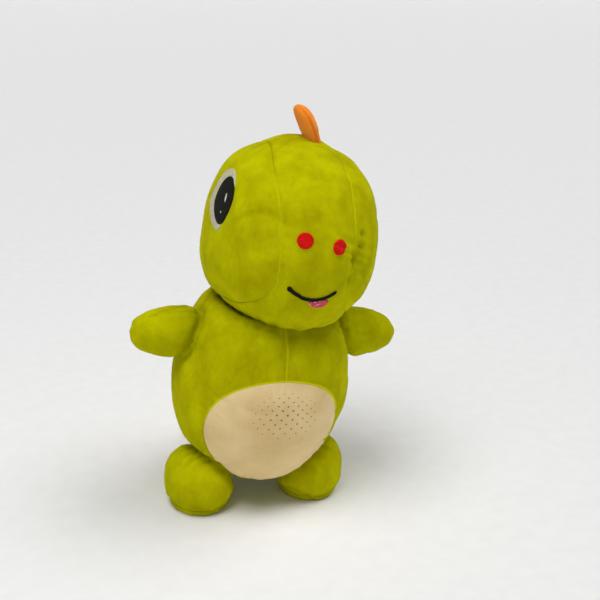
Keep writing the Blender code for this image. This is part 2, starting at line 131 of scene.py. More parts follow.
# ---- forms ----
class Form:
    """A stuffed form, as a radius in every direction from its centre.

    Depth is the half size in front and behind, height the half size above and below, and
    fullness how square the form is above and below: 2 is an ellipsoid.
    """

    def __init__(self, name, centre, across, depth, height, fullness, turn=None):
        self.name = name
        self.centre = np.array(centre)
        self.across, self.depth, self.height, self.fullness = across, depth, height, fullness
        self.turn = np.identity(3) if turn is None else turn
        self.seams = lambda dirs: []
        self.neighbours = []
        self.trims = []
        self.folds = None
        self.details = lambda dirs, points: 0.0
        self.lit_seams = lambda dirs: np.zeros(dirs.shape[:-1])

    def reach(self, dirs):
        x, y, z = dirs[..., 0], dirs[..., 1], dirs[..., 2]
        depth = np.where(y < 0, *self.depth)
        height = np.where(z >= 0, *self.height)
        n = np.where(z >= 0, *self.fullness)
        flat = np.hypot(x / self.across, y / depth)
        return (flat ** n + np.abs(z / height) ** n) ** (-1 / n)

    def local(self, points):
        return (points - self.centre) @ self.turn

    def world(self, local):
        return self.centre + local @ self.turn.T

    def level(self, points):
        q = self.local(points)
        return np.linalg.norm(q, axis=-1) / self.reach(unit(q))

    def normals(self, dirs):
        surface = dirs * self.reach(dirs)[..., None]
        slope = np.zeros_like(surface)
        for i in range(3):
            step = np.zeros(3)
            step[i] = 1e-5
            ahead, behind = surface + step, surface - step
            slope[..., i] = (
                np.linalg.norm(ahead, axis=-1) / self.reach(unit(ahead))
                - np.linalg.norm(behind, axis=-1) / self.reach(unit(behind))
            )
        return unit(slope) @ self.turn.T

    def relief(self, dirs, points):
        """How far the skin stands out from the form: rolled in and puckered at its seams."""
        out = np.zeros(dirs.shape[:-1])
        for d, s in self.seams(dirs):
            out -= SEAM_DEPTH * np.exp(-d / SEAM_WIDTH) + ROLL_DEPTH * bell(d, ROLL_WIDTH)
            pull = STITCH_PULL * (0.5 + 0.5 * np.cos(2 * pi * s / STITCH))
            out -= pull * bell(d, STITCH_REACH)
            fade = np.exp(-d / PUCKER_REACH) * (1 - bell(d, PUCKER_START))
            out += PUCKER * wave(s, PUCKER_PITCH) * fade
        for d, s, depth in self.creases(points):
            out -= depth * bell(d, JOIN_WIDTH)
            out += 0.5 * depth * wave(s, JOIN_PITCH) * np.exp(-d / JOIN_REACH)
        out += LUMP * noise_at(points, LUMP_SCALE)
        # Creases wander where one field of noise is near zero, and fade where another is low.
        near_fold = bell(noise_at(points + 5.0, CREASE_SCALE), CREASE_WIDTH)
        slack = np.clip(0.5 + 2.2 * noise_at(points - 3.0, CREASE_SCALE), 0, 1)
        out -= CREASE_DEPTH * near_fold * slack
        return out + self.details(dirs, points)

    def creases(self, points):
        """Where another form is sewn on: how far off it is, and a length round it."""
        found = []
        for other, size, depth in self.neighbours:
            distance = np.abs(other.level(points) - 1) * size
            q = unit(other.local(points))
            s = np.arctan2(q[..., 0], q[..., 1]) * size
            found.append((distance, s, depth))
        return found

    def skin(self, dirs):
        """Points on the finished skin, and their normals."""
        return self.shaped(dirs)[:2]

    def shaped(self, dirs):
        """Points on the finished skin, their normals, and how far each stands off the form."""
        radius = self.reach(dirs)
        if self.folds:
            radius = radius + self.folds(dirs)
        normals = self.normals(dirs)
        points = self.world(dirs * radius[..., None])
        relief = self.relief(dirs, points)
        return points + normals * relief[..., None], normals, relief

    def trimmed(self, points):
        for trim in self.trims:
            points = trim(points)
        return points


def flattened_at(place, axis):
    """Nothing goes beyond a plane, on the side its axis points away from."""
    def trim(points):
        height = (points - place) @ axis
        return points - np.minimum(height, 0)[..., None] * axis
    return trim


def tucked_into(form, depth):
    """Nothing goes deeper than this into another form."""
    def trim(points):
        q = form.local(points)
        length = np.linalg.norm(q, axis=-1)
        least = form.reach(unit(q)) - depth
        return form.world(q * np.maximum(1.0, least / length)[..., None])
    return trim


def above_floor(points):
    points = points.copy()
    points[..., 2] = np.maximum(points[..., 2], FLOOR_GAP)
    return points


STAND = (place_of("leg_left_swing") + place_of("leg_right_swing")) / 2 + (0.0, 0.004, 0.0)
LEAN = rotation(5.8, "Y")
TORSO_CENTRE = np.array((STAND[0], STAND[1], 0.030)) + LEAN @ (0.0, 0.0, 0.094)
NECK = place_of("head_turn")
NECK_AXIS = unit(np.array(JOINTS["head_turn"]["axis"]))

torso = Form("torso", TORSO_CENTRE, 0.0845, (0.0800, 0.0760), (0.1065, 0.1060), (2.08, 2.15), LEAN)
head = Form(
    "head", NECK + (0.0171, -0.005, 0.068), 0.0790, (0.0958, 0.0890), (0.0855, 0.0905), (2.1, 2.3),
    rotation(1.2, "Z") @ rotation(8.3, "Y"),
)


def frame_from(axis, across):
    z = unit(axis)
    y = unit(np.cross(z, across))
    return np.array((np.cross(y, z), y, z)).T


arms, legs = {}, {}
ARM_RISE = radians(-1)
for side_name, side in SIDES.items():
    reach_out = LEAN @ (side * cos(ARM_RISE), 0.0, sin(ARM_RISE))
    arms[side_name] = Form(
        f"arm_{side_name}", place_of(f"arm_{side_name}_swing"), 0.0253, (0.018, 0.018),
        (0.0535, 0.0225), (2.25, 2.0), frame_from(reach_out, LEAN @ UP),
    )
    hip = place_of(f"leg_{side_name}_swing")
    legs[side_name] = Form(
        f"leg_{side_name}", (hip[0], hip[1] - 0.0075, 0.030), 0.0338, (0.0375, 0.0360),
        (0.0300, 0.0440), (2.0, 2.4),
    )
TAIL_FALL = radians(22)
TAIL_AXIS = np.array((0.0, cos(TAIL_FALL), -sin(TAIL_FALL)))
tail = Form(
    "tail", place_of("tail_swing"), 0.034, (0.036, 0.036), (0.105, 0.026), (1.95, 2.0),
    frame_from(TAIL_AXIS, LEFT),
)

# ---- seams ----
# The head's two long seams: the angle round the head from straight ahead, up over the crown and
# down its back, and how far the seam is from the middle there. Both are in degrees.
SEAM_PLACES = {
    "right": (
        (-75, 44), (-46, 34), (-31, 26), (-18, 22), (4, 23.4), (30, 24.4), (55, 26.2), (99, 20.8),
        (190, 24), (285, 44),
    ),
    "left": (
        (-75, 40), (-30, 22.5), (0, 21.0), (18, 18.2), (46, 17.2), (99, 20.6), (190, 24), (285, 40),
    ),
}
HEAD_ROUND = 0.088
ALL_ROUND = np.arange(-75, 286)


def smooth_curve(places):
    """A table of a closed smooth curve through its places, one value a degree."""
    keys = [(places[-2][0] - 360, places[-2][1]), *places, (places[1][0] + 360, places[1][1])]
    x, y = np.array(keys, float).T
    slope = (y[2:] - y[:-2]) / (x[2:] - x[:-2])
    slope = np.concatenate(([0], slope, [0]))
    i = np.clip(np.searchsorted(x, ALL_ROUND, side="right") - 1, 1, len(x) - 3)
    span = x[i + 1] - x[i]
    t = (ALL_ROUND - x[i]) / span
    value = y[i] + slope[i] * span * t
    value += (3 * (y[i + 1] - y[i]) - (2 * slope[i] + slope[i + 1]) * span) * t ** 2
    value += ((slope[i] + slope[i + 1]) * span - 2 * (y[i + 1] - y[i])) * t ** 3
    return np.radians(value)


SEAM_TABLE = {name: smooth_curve(places) for name, places in SEAM_PLACES.items()}


def head_seam(side_name, around):
    place = -75 + (np.degrees(around) + 75) % 360
    return np.interp(place, ALL_ROUND, SEAM_TABLE[side_name])


def round_head(dirs):
    """The angle up and over the head from straight ahead, and the angle aside."""
    return np.arctan2(dirs[..., 2], -dirs[..., 1]), np.arcsin(np.clip(dirs[..., 0], -1, 1))


def head_seams(dirs):
    around, off = round_head(dirs)
    return [
        (np.abs(off - side * head_seam(side_name, around)) * HEAD_ROUND, around * HEAD_ROUND)
        for side_name, side in SIDES.items()
    ]


SNOUT_MIDDLE, SNOUT_HALF = 12, 46
# Strength and width of the painted highlight along the head's seams by the snout.
HEAD_SHINE, HEAD_SHINE_WIDTH = 0.42, 0.0011


def head_lit_seams(dirs):
    """A painted highlight along the head's seams where they pass the snout."""
    around = np.degrees(round_head(dirs)[0])
    snout = np.exp(-((around - SNOUT_MIDDLE) / SNOUT_HALF) ** 4)
    seam = np.minimum(*(distance for distance, _ in head_seams(dirs)))
    return HEAD_SHINE * bell(seam, HEAD_SHINE_WIDTH) * snout


BELLY_PITCH = radians(-25.5)
BELLY_POLE = FORWARD * cos(BELLY_PITCH) + UP * sin(BELLY_PITCH)
BELLY_UP = UP * cos(BELLY_PITCH) - FORWARD * sin(BELLY_PITCH)
BELLY_SIDE = np.cross(BELLY_POLE, BELLY_UP)
BELLY_HALF_UP, BELLY_HALF_ACROSS = radians(42.5), radians(49.5)
BELLY_ROUND = 0.72
TORSO_ROUND = 0.082


def belly_edge(around):
    return 1 / np.hypot(np.cos(around) / BELLY_HALF_UP, np.sin(around) / BELLY_HALF_ACROSS)


def torso_seams(dirs):
    angle = np.arccos(np.clip(dirs @ BELLY_POLE, -1, 1))
    around = np.arctan2(dirs @ BELLY_SIDE, dirs @ BELLY_UP)
    belly = (angle - belly_edge(around)) * TORSO_ROUND
    middle = np.abs(dirs[..., 0]) * TORSO_ROUND + np.where(belly < 0, 1.0, 0.0)
    height = np.arctan2(dirs[..., 2], -dirs[..., 1])
    return [(np.abs(belly), around * TORSO_ROUND * BELLY_ROUND), (middle, height * TORSO_ROUND)]


# Place and width of the painted highlight beside the belly panel's seam, and strength and width of
# the one on the chest's middle seam.
BELLY_SHINE_PLACE, BELLY_SHINE_WIDTH = 0.0006, 0.0011
CHEST_SHINE, CHEST_SHINE_WIDTH = 0.6, 0.0010


def torso_lit_seams(dirs):
    """A painted highlight along the chest's middle seam and along the belly panel's upper edge."""
    (belly, around), (middle, _) = torso_seams(dirs)
    # Only the belly panel's upper edge gets the painted highlight, as light from above catches its
    # rolled edge.
    upper = np.clip(np.cos(around / (TORSO_ROUND * BELLY_ROUND)) * 2 + 0.3, 0, 1)
    edge = bell(belly - BELLY_SHINE_PLACE, BELLY_SHINE_WIDTH) * upper
    return np.clip(edge + CHEST_SHINE * bell(middle, CHEST_SHINE_WIDTH), 0, 1)


def half_seams(pole, zero, size):
    """The seam of a form sewn from two halves, square to a pole on its own axes."""
    side = np.cross(pole, zero)

    def seams(dirs):
        around = np.arctan2(dirs @ side, dirs @ zero)
        return [(np.abs(dirs @ pole) * size, around * size)]
    return seams


SOLE_ANGLE = radians(53)
LEG_ROUND, SOLE_ROUND = 0.045, 0.032
ARM_ROUND, TAIL_ROUND = 0.030, 0.045


def leg_seams(dirs):
    angle = np.arccos(np.clip(-dirs[..., 2], -1, 1))
    around = np.arctan2(dirs[..., 0], dirs[..., 1])
    return [(np.abs(angle - SOLE_ANGLE) * LEG_ROUND, around * SOLE_ROUND)]


head.seams = head_seams
head.lit_seams = head_lit_seams
torso.seams = torso_seams
torso.lit_seams = torso_lit_seams
tail.seams = half_seams(LEFT, UP, TAIL_ROUND)
# Where one form is sewn on another: the other form, its size in metres, and the crease's depth.
CREASE = 0.0024
TORSO_SIZE = 0.080
torso.neighbours = [(tail, 0.040, CREASE)]
NECK_GAP = 0.0004
torso.trims = [flattened_at(NECK - NECK_AXIS * NECK_GAP, -NECK_AXIS)]
head.trims = [flattened_at(NECK + NECK_AXIS * NECK_GAP, NECK_AXIS)]
ARM_SEAM_TILT = radians(16)
# Strength and width of the painted highlight along each arm's seam.
ARM_SHINE, ARM_SHINE_WIDTH = 0.35, 0.0012


def arm_lit_seam(front):
    """A painted highlight along an arm, round the seam square to its front."""
    return lambda dirs: ARM_SHINE * bell((dirs @ front) * ARM_ROUND, ARM_SHINE_WIDTH)


for arm in arms.values():
    front = FORWARD @ arm.turn
    front = unit(front - UP * (front @ UP))
    top = (LEAN @ UP) @ arm.turn
    arm.front = front * cos(ARM_SEAM_TILT) - unit(top - UP * (top @ UP)) * sin(ARM_SEAM_TILT)
    arm.seams = half_seams(arm.front, UP, ARM_ROUND)
    arm.lit_seams = arm_lit_seam(arm.front)
    arm.neighbours = [(torso, TORSO_SIZE, CREASE)]
    arm.trims = [tucked_into(torso, TUCK)]
    torso.neighbours.append((arm, 0.026, CREASE))
for leg in legs.values():
    leg.seams = leg_seams
    leg.neighbours = [(torso, TORSO_SIZE, CREASE)]
    leg.trims = [tucked_into(torso, TUCK), above_floor]
    torso.neighbours.append((leg, 0.036, CREASE))
tail.neighbours = [(torso, TORSO_SIZE, CREASE)]
tail.trims = [tucked_into(torso, TUCK), above_floor]


NECK_FOLD = 0.0020
NECK_SHARPNESS = 0.80
NECK_ROUND = 0.062


def neck_creases(form):
    """The neck fold, as a crease of a form that meets the neck's plane."""
    sewn_on = form.creases

    def creases(points):
        off = points - NECK
        height = off @ NECK_AXIS
        s = np.arctan2(off[..., 0], off[..., 1]) * NECK_ROUND
        return sewn_on(points) + [(np.abs(height) * NECK_SHARPNESS, s, NECK_FOLD)]
    return creases


for form in (torso, head):
    form.creases = neck_creases(form)


# Dimples by the seam of the toy's left cheek: the angle round the head in degrees, then the way
# out from the seam, the depth, and the half length along the seam in metres.
DIMPLES = (
    (15, 0.0095, 0.0042, 0.0032), (7.5, 0.0070, 0.0040, 0.0030), (0.5, -0.0012, 0.0056, 0.0068),
    (-12, -0.0020, 0.0036, 0.0056),
)
DIMPLE_HALF_WIDTH = 0.0027
GATHER = 0.0014
GATHER_REACH = 0.020
GATHER_PITCH = 0.0085
GATHER_START = 0.004
GATHER_MIDDLE, GATHER_HALF = 3, 24


def cheek_gathers(dirs, points):
    """Dimples at the tight stitches of the left cheek's seam, and folds that fan out of them."""
    around, off = round_head(dirs)
    across = (off - head_seam("left", around)) * HEAD_ROUND
    out = np.zeros(dirs.shape[:-1])
    for angle, aside, depth, half_length in DIMPLES:
        along = (around - radians(angle)) * HEAD_ROUND
        off_middle = np.hypot(along / half_length, (across - aside) / DIMPLE_HALF_WIDTH)
        out -= depth * np.exp(-off_middle ** 1.4)
    middle = np.degrees(around) - GATHER_MIDDLE
    share = bell(middle, GATHER_HALF) * np.exp(-np.abs(across) / GATHER_REACH)
    share *= 1 - bell(across, GATHER_START)
    fan = around * HEAD_ROUND * (1 - 6 * np.abs(across)) + across * 0.3
    return out + GATHER * wave(fan, GATHER_PITCH) * share


head.details = cheek_gathers


# ---- cloth ----
SKIN_CUTS = 26
SIM_FRAMES = 20
CLOTH_START = 0.985
SEAM_SEWN, JOIN_SEWN = 0.0045, 0.005
BROAD_SPREAD, SMALL_SPREAD = 60, 14
FOLD_SPACE = 0.1


def ball(cuts):
    """A sphere of even squares: its directions and faces."""
    line = np.tan(np.linspace(-pi / 4, pi / 4, cuts + 1))
    a, b = np.meshgrid(line, line, indexing="ij")
    points, faces = [], []
    one = np.ones_like(a)
    sides = ((a, b, one), (b, a, -one), (one, a, b), (-one, b, a), (b, one, a), (a, -one, b))
    for x, y, z in sides:
        start = len(points)
        points.extend(unit(np.stack((x, y, z), -1)).reshape(-1, 3).round(9))
        faces.extend(grid_faces(cuts + 1, cuts + 1, start, False))
    dirs, back = np.unique(np.array(points), axis=0, return_inverse=True)
    return unit(dirs), [[int(back.ravel()[i]) for i in face] for face in faces]


def grid_faces(rows, columns, start=0, wrap=True):
    """Four-sided faces between the points of a grid, whose rows may close into rings."""
    faces = []
    for r in range(rows - 1):
        for c in range(columns if wrap else columns - 1):
            after = (c + 1) % columns
            low, high = start + r * columns, start + (r + 1) * columns
            faces.append([low + c, low + after, high + after, high + c])
    return faces


def points_of(*grids):
    return np.concatenate([grid.reshape(-1, 3) for grid in grids])


def in_scene(name, data):
    made = bpy.data.objects.new(name, data)
    bpy.context.scene.collection.objects.link(made)
    return made


def new_object(name, points, faces):
    mesh = bpy.data.meshes.new(name)
    mesh.from_pydata([tuple(p) for p in np.asarray(points).tolist()], [], faces)
    return in_scene(name, mesh)


def evaluated_points(obj):
    found = obj.evaluated_get(bpy.context.evaluated_depsgraph_get()).to_mesh()
    points = np.zeros(len(found.vertices) * 3, np.float32)
    found.vertices.foreach_get("co", points)
    faces = [list(p.vertices) for p in found.polygons]
    return points.reshape(-1, 3).astype(float), faces


def smoothed(values, faces, times):
    """Values at the points of a mesh of four-sided faces, spread along its edges."""
    edges = np.array([(f[i], f[i - 1]) for f in faces for i in range(4)])
    count = np.bincount(edges.ravel(), minlength=len(values))
    for _ in range(times):
        total = np.bincount(edges[:, 0], values[edges[:, 1]], len(values))
        total += np.bincount(edges[:, 1], values[edges[:, 0]], len(values))
        values = 0.4 * values + 0.6 * total / count
    return values


def blow_up(form, spread, cap):
    """Sews slack cloth round a form, shortened along its seams, fills it, and keeps its folds."""
    dirs, faces = ball(SKIN_CUTS)
    start = form.world(dirs * (form.reach(dirs) * CLOTH_START)[:, None])
    skin = new_object(f"{form.name}_cloth", start, faces)
    near = np.zeros(len(dirs))
    for d, _ in form.seams(dirs):
        near = np.maximum(near, bell(d, SEAM_SEWN))
    for d, _, _ in form.creases(form.world(dirs * form.reach(dirs)[:, None])):
        near = np.maximum(near, 0.8 * bell(d, JOIN_SEWN))
    sewn = skin.vertex_groups.new(name="sewn")
    for i, weight in enumerate(near):
        sewn.add([i], float(weight), "REPLACE")
    settings = skin.modifiers.new("cloth", "CLOTH").settings
    settings.quality = 6
    settings.mass = 0.25
    settings.air_damping = 2.0
    settings.tension_stiffness = 20
    settings.compression_stiffness = 12
    settings.shear_stiffness = 6
    settings.bending_stiffness = 0.05
    settings.use_pressure = True
    settings.uniform_pressure_force = 4
    settings.vertex_group_shrink = "sewn"
    settings.shrink_min = -0.02
    settings.shrink_max = 0.045
    settings.effector_weights.gravity = 0
    for step in range(1, SIM_FRAMES + 1):
        bpy.context.scene.frame_set(step)
    blown, _ = evaluated_points(skin)
    bpy.data.objects.remove(skin, do_unlink=True)
    bpy.context.scene.frame_set(1)
    moved = np.linalg.norm(form.local(blown), axis=1) - form.reach(dirs)
    moved = np.clip(moved - smoothed(moved, faces, spread), -cap, cap)
    moved = smoothed(moved, faces, 1)
    relief = new_object(f"{form.name}_folds", dirs * (FOLD_SPACE + moved)[:, None], faces)
    rounding = relief.modifiers.new("round", "SUBSURF")
    rounding.levels = 2
    points, faces = evaluated_points(relief)
    bpy.data.objects.remove(relief, do_unlink=True)
    tree = BVHTree.FromPolygons([Vector(p) for p in points], faces)

    def folds(directions):
        found = [
            tree.ray_cast(Vector(), Vector(d))[3] or FOLD_SPACE for d in directions.reshape(-1, 3)
        ]
        return (np.array(found) - FOLD_SPACE).reshape(directions.shape[:-1])
    form.folds = folds


for form in (head, torso, tail, *arms.values(), *legs.values()):
    if form in (head, torso):
        blow_up(form, BROAD_SPREAD, FOLD_CAP)
    else:
        blow_up(form, SMALL_SPREAD, FOLD_CAP / 2)


# ---- materials ----
class Look:
    """A material and its nodes, with short ways to add and join them."""

    def __init__(self, name, colour, **constants):
        self.material = bpy.data.materials.new(name)
        self.material.use_nodes = True
        self.nodes = self.material.node_tree.nodes
        self.links = self.material.node_tree.links
        self.shader = self.nodes["Principled BSDF"]
        self.shader.inputs["Base Color"].default_value = (*colour, 1)
        self.material.diffuse_color = (*colour, 1)
        for socket, value in constants.items():
            self.shader.inputs[socket.replace("_", " ")].default_value = value

    def feed(self, socket, value):
        if isinstance(value, bpy.types.NodeSocket):
            self.links.new(value, socket)
        else:
            socket.default_value = value

    def add(self, kind, inputs=None, **settings):
        node = self.nodes.new(f"ShaderNode{kind}")
        for key, value in settings.items():
            setattr(node, key, value)
        for name, value in (inputs or {}).items():
            self.feed(node.inputs[name], value)
        return node

    def coordinates(self, stretch=(1.0, 1.0, 1.0), attribute=None):
        if attribute:
            source = self.add("Attribute", attribute_name=attribute).outputs["Vector"]
        else:
            source = self.add("TexCoord").outputs["Object"]
        return self.add("Mapping", {"Vector": source, "Scale": stretch}).outputs["Vector"]

    def noise(self, vector, scale, detail=3.0, roughness=0.55):
        node = self.add(
            "TexNoise", {"Vector": vector, "Scale": scale, "Detail": detail, "Roughness": roughness}
        )
        return node.outputs["Fac"]

    def ranged(self, value, low, high, to_low=0.0, to_high=1.0):
        node = self.add("MapRange", {
            "Value": value, "From Min": low, "From Max": high, "To Min": to_low, "To Max": to_high,
        })
        return node.outputs["Result"]

    def maths(self, operation, a, b):
        return self.add("Math", {0: a, 1: b}, operation=operation).outputs[0]

    def weighed(self, a, share, b):
        """A sum of two values, the first by its share and the second by the rest."""
        rest = round(1 - share, 6)
        return self.maths("ADD", self.maths("MULTIPLY", a, share), self.maths("MULTIPLY", b, rest))

    def mix(self, factor, a, b):
        node = self.add("Mix", data_type="RGBA")
        for index, value in ((0, factor), (6, a), (7, b)):
            self.feed(node.inputs[index], (*value, 1) if isinstance(value, tuple) else value)
        return node.outputs[2]

    def finish(self, colour, height, strength, distance, roughness=None):
        self.links.new(colour, self.shader.inputs["Base Color"])
        bump = self.add("Bump", {"Height": height, "Strength": strength, "Distance": distance})
        self.links.new(bump.outputs["Normal"], self.shader.inputs["Normal"])
        if roughness is not None:
            self.links.new(roughness, self.shader.inputs["Roughness"])
        return self.material


SEAM_SHADE = 0.27


def plush_look(name, lit, deep, seam, sheen, sheen_tint, edge=None):
    """Short pile in uneven clumps, with painted shade towards the seam colour by seams, creases and
    hollows and, with an edge colour, a painted highlight along some seams and ridges.
    """
    look = Look(
        name, lit, Roughness=0.95, Specular_IOR_Level=0.02, Sheen_Weight=sheen,
        Sheen_Roughness=0.45, Sheen_Tint=(*sheen_tint, 1),
    )
    where = look.coordinates((1.0, 1.0, 0.72))
    broad = look.noise(where, 48, 4)
    clumps = look.noise(where, 230, 4, 0.6)
    pile = look.noise(where, 1300, 2)
    shade = look.weighed(broad, 0.75, clumps)
    colour = look.mix(look.ranged(shade, 0.32, 0.66), deep, lit)
    # Painted shade: the seam colour is mixed in where the panel marks shade by seams, creases and
    # hollows.
    near = look.add("Attribute", attribute_name="painted_shade").outputs["Fac"]
    colour = look.mix(look.maths("MULTIPLY", near, SEAM_SHADE), colour, seam)
    # Painted highlight: the edge colour along lit seams and on raised ridges.
    if edge:
        lit_seam = look.add("Attribute", attribute_name="lit_seam").outputs["Fac"]
        colour = look.mix(lit_seam, colour, edge)
    return look.finish(colour, look.weighed(clumps, 0.6, pile), 0.45, 0.0009)


# In each plush the seam colour is its painted shade, and the green's edge colour its painted
# highlight.
GREEN = plush_look(
    "green_plush", lit=(0.52, 0.520, 0.001), deep=(0.355, 0.330, 0.0), seam=(0.20, 0.20, 0.0),
    sheen=0.12, sheen_tint=(0.85, 0.95, 0.0), edge=(0.74, 0.76, 0.004),
)
ORANGE = plush_look(
    "orange_plush", lit=(0.96, 0.34, 0.045), deep=(0.86, 0.21, 0.010), seam=(0.55, 0.10, 0.004),
    sheen=0.22, sheen_tint=(1.0, 0.75, 0.5),
)


def knit_look():
    """Fine ribs and courses of a smooth knit."""
    look = Look(
        "cream_knit", (0.7, 0.55, 0.33), Roughness=0.85, Specular_IOR_Level=0.10, Sheen_Weight=0.15,
        Sheen_Roughness=0.4, Sheen_Tint=(1.0, 0.93, 0.8, 1),
    )
    where = look.coordinates()
    broad = look.noise(where, 26, 2)
    ribs = look.noise(look.coordinates((1.0, 1.0, 0.12)), 620, 2)
    courses = look.noise(look.coordinates((0.15, 0.15, 1.0)), 700, 2)
    weave = look.weighed(ribs, 0.6, courses)
    colour = look.mix(look.ranged(broad, 0.35, 0.65), (0.72, 0.52, 0.23), (0.83, 0.63, 0.32))
    colour = look.mix(look.ranged(weave, 0.38, 0.62, 0.0, 0.22), colour, (0.82, 0.66, 0.40))
    return look.finish(colour, weave, 0.35, 0.0006)


CREAM = knit_look()


def thread_look(name, colour, dark, roughness, gloss):
    """Satin embroidery: fine threads side by side, as the pad's own coordinates run."""
    look = Look(name, colour, Roughness=roughness, Specular_IOR_Level=gloss)
    threads = look.noise(look.coordinates((1.0, 0.09, 1.0), "stitch"), 2300, 2)
    rows = look.noise(look.coordinates((0.5, 1.0, 1.0), "stitch"), 500, 2)
    shade = look.weighed(threads, 0.7, rows)
    mixed = look.mix(look.ranged(shade, 0.36, 0.64), dark, colour)
    return look.finish(mixed, shade, 0.6, 0.0006)


BLACK = thread_look("black_thread", (0.011, 0.012, 0.005), (0.003, 0.003, 0.002), 0.7, 0.12)
WHITE = thread_look("cream_thread", (0.62, 0.58, 0.40), (0.40, 0.38, 0.24), 0.6, 0.2)
GLINT = thread_look("pale_thread", (0.75, 0.75, 0.70), (0.50, 0.50, 0.46), 0.5, 0.3)
RED = thread_look("red_thread", (0.88, 0.008, 0.003), (0.45, 0.002, 0.001), 0.6, 0.10)


def glitter_look():
    """Felt with small flakes, of which a few are bright."""
    look = Look("pink_glitter", (0.7, 0.1, 0.16), Specular_IOR_Level=0.6)
    cells = look.add("TexVoronoi", {"Vector": look.coordinates(), "Scale": 900.0})
    flake = look.add("SeparateColor", {"Color": cells.outputs["Color"]}).outputs[0]
    bright = look.ranged(flake, 0.92, 0.94)
    colour = look.mix(look.ranged(flake, 0.2, 0.7), (0.44, 0.022, 0.035), (0.76, 0.055, 0.090))
    colour = look.mix(bright, colour, (0.95, 0.50, 0.58))
    roughness = look.ranged(flake, 0.6, 0.8, 0.7, 0.2)
    return look.finish(colour, flake, 0.5, 0.0008, roughness)


PINK = glitter_look()


def foil_look():
    look = Look("brown_foil", (0.20, 0.15, 0.05), Roughness=0.4, Specular_IOR_Level=0.5)
    speck = look.noise(look.coordinates(), 1500, 2)
    colour = look.mix(look.ranged(speck, 0.4, 0.6), (0.26, 0.20, 0.08), (0.14, 0.10, 0.03))
    return look.finish(colour, speck, 0.3, 0.0003)


def fibre_look():
    look = Look("white_filling", (0.85, 0.85, 0.83), Roughness=0.95, Specular_IOR_Level=0.1)
    tufts = look.noise(look.coordinates(), 160, 5, 0.7)
    colour = look.mix(look.ranged(tufts, 0.3, 0.7), (0.78, 0.78, 0.75), (0.92, 0.92, 0.90))
    return look.finish(colour, tufts, 0.8, 0.003)


FOIL = foil_look()
FILLING = fibre_look()


# ---- pieces ----
def point_values(obj, name, values, kind="FLOAT", field="value"):
    attribute = obj.data.attributes.new(name, kind, "POINT")
    attribute.data.foreach_set(field, np.asarray(values, np.float32).ravel())


def close_up(obj):
    """Merges poles, turns faces out and shades them smooth."""
    bm = bmesh.new()
    bm.from_mesh(obj.data)
    bmesh.ops.remove_doubles(bm, verts=bm.verts, dist=2e-6)
    bmesh.ops.recalc_face_normals(bm, faces=bm.faces)
    middle = sum((v.co for v in bm.verts), Vector()) / len(bm.verts)
    bmesh.ops.translate(bm, vec=-middle, verts=bm.verts)
    if bm.calc_volume(signed=True) < 0:
        bmesh.ops.reverse_faces(bm, faces=bm.faces)
    bmesh.ops.translate(bm, vec=middle, verts=bm.verts)
    bm.to_mesh(obj.data)
    bm.free()
    obj.data.shade_smooth()


# Two places for each limb and the tail, one nearer the torso and one out on the limb, for where its
# skin stops following the torso and starts to follow the limb; only the table's keys are read, to
# leave these pieces off the bodies.
BLENDS = {}


def carry(obj, form_name):
    """Rides on the form's body, or, for a limb or the tail, has its placement baked into its points
    and rides on no body.
    """
    if form_name in BLENDS:
        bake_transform(obj)
    else:
        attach(obj, form_name)


for arm in arms.values():
    out = arm.turn[:, 2]
    BLENDS[arm.name] = (tuple(arm.centre - out * 0.008), tuple(arm.centre + out * 0.022))
for leg in legs.values():
    middle = leg.centre
    BLENDS[leg.name] = (tuple(middle + (0.0, 0.026, 0.032)), tuple(middle + (0.0, -0.004, 0.002)))
BLENDS["tail"] = (tuple(tail.centre - TAIL_AXIS * 0.014), tuple(tail.centre + TAIL_AXIS * 0.012))


def finish_piece(obj, material, slot_name, form_name, *cad):
    """Closes the mesh, gives it its material, hides any CAD parts it stands for, and carries it
    with its form.
    """
    close_up(obj)
    obj.data.materials.append(material)
    if cad:
        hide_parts(*cad)
    carry(obj, form_name)


def spaced(total, first, last, growth=1.28):
    """Places from 0 to 1 whose steps grow from a first size to a last one."""
    places, step = [0.0], first
    while places[-1] < total:
        places.append(places[-1] + step)
        step = min(step * growth, last)
    return np.array(places) / places[-1]


def both_ends(total, first, last):
    """Places from 0 to 1 whose steps are small at both ends."""
    half = spaced(total / 2, first, last) / 2
    return np.concatenate((half, 1 - half[-2::-1]))


# Steps across a panel, in metres: fine at its seam, wider inside.
SEAM_STEP = 0.0004
BROAD_STEP = 0.0023
TORSO_STEP = 0.0024
LEG_STEP = 0.0021
# How far the painted shade reaches from seams and creases, and how hollows and ridges turn into
# painted shade and painted highlight.
SHADE_REACH = 0.0014
JOIN_SHADE, JOIN_SHADE_REACH = 1.6, 0.0020
HOLLOW_START, HOLLOW_DEPTH, HOLLOW_SHADE = 0.0006, 0.0020, 2.4
RIDGE_START, RIDGE_HEIGHT, RIDGE_SHINE = 0.0002, 0.0026, 0.3


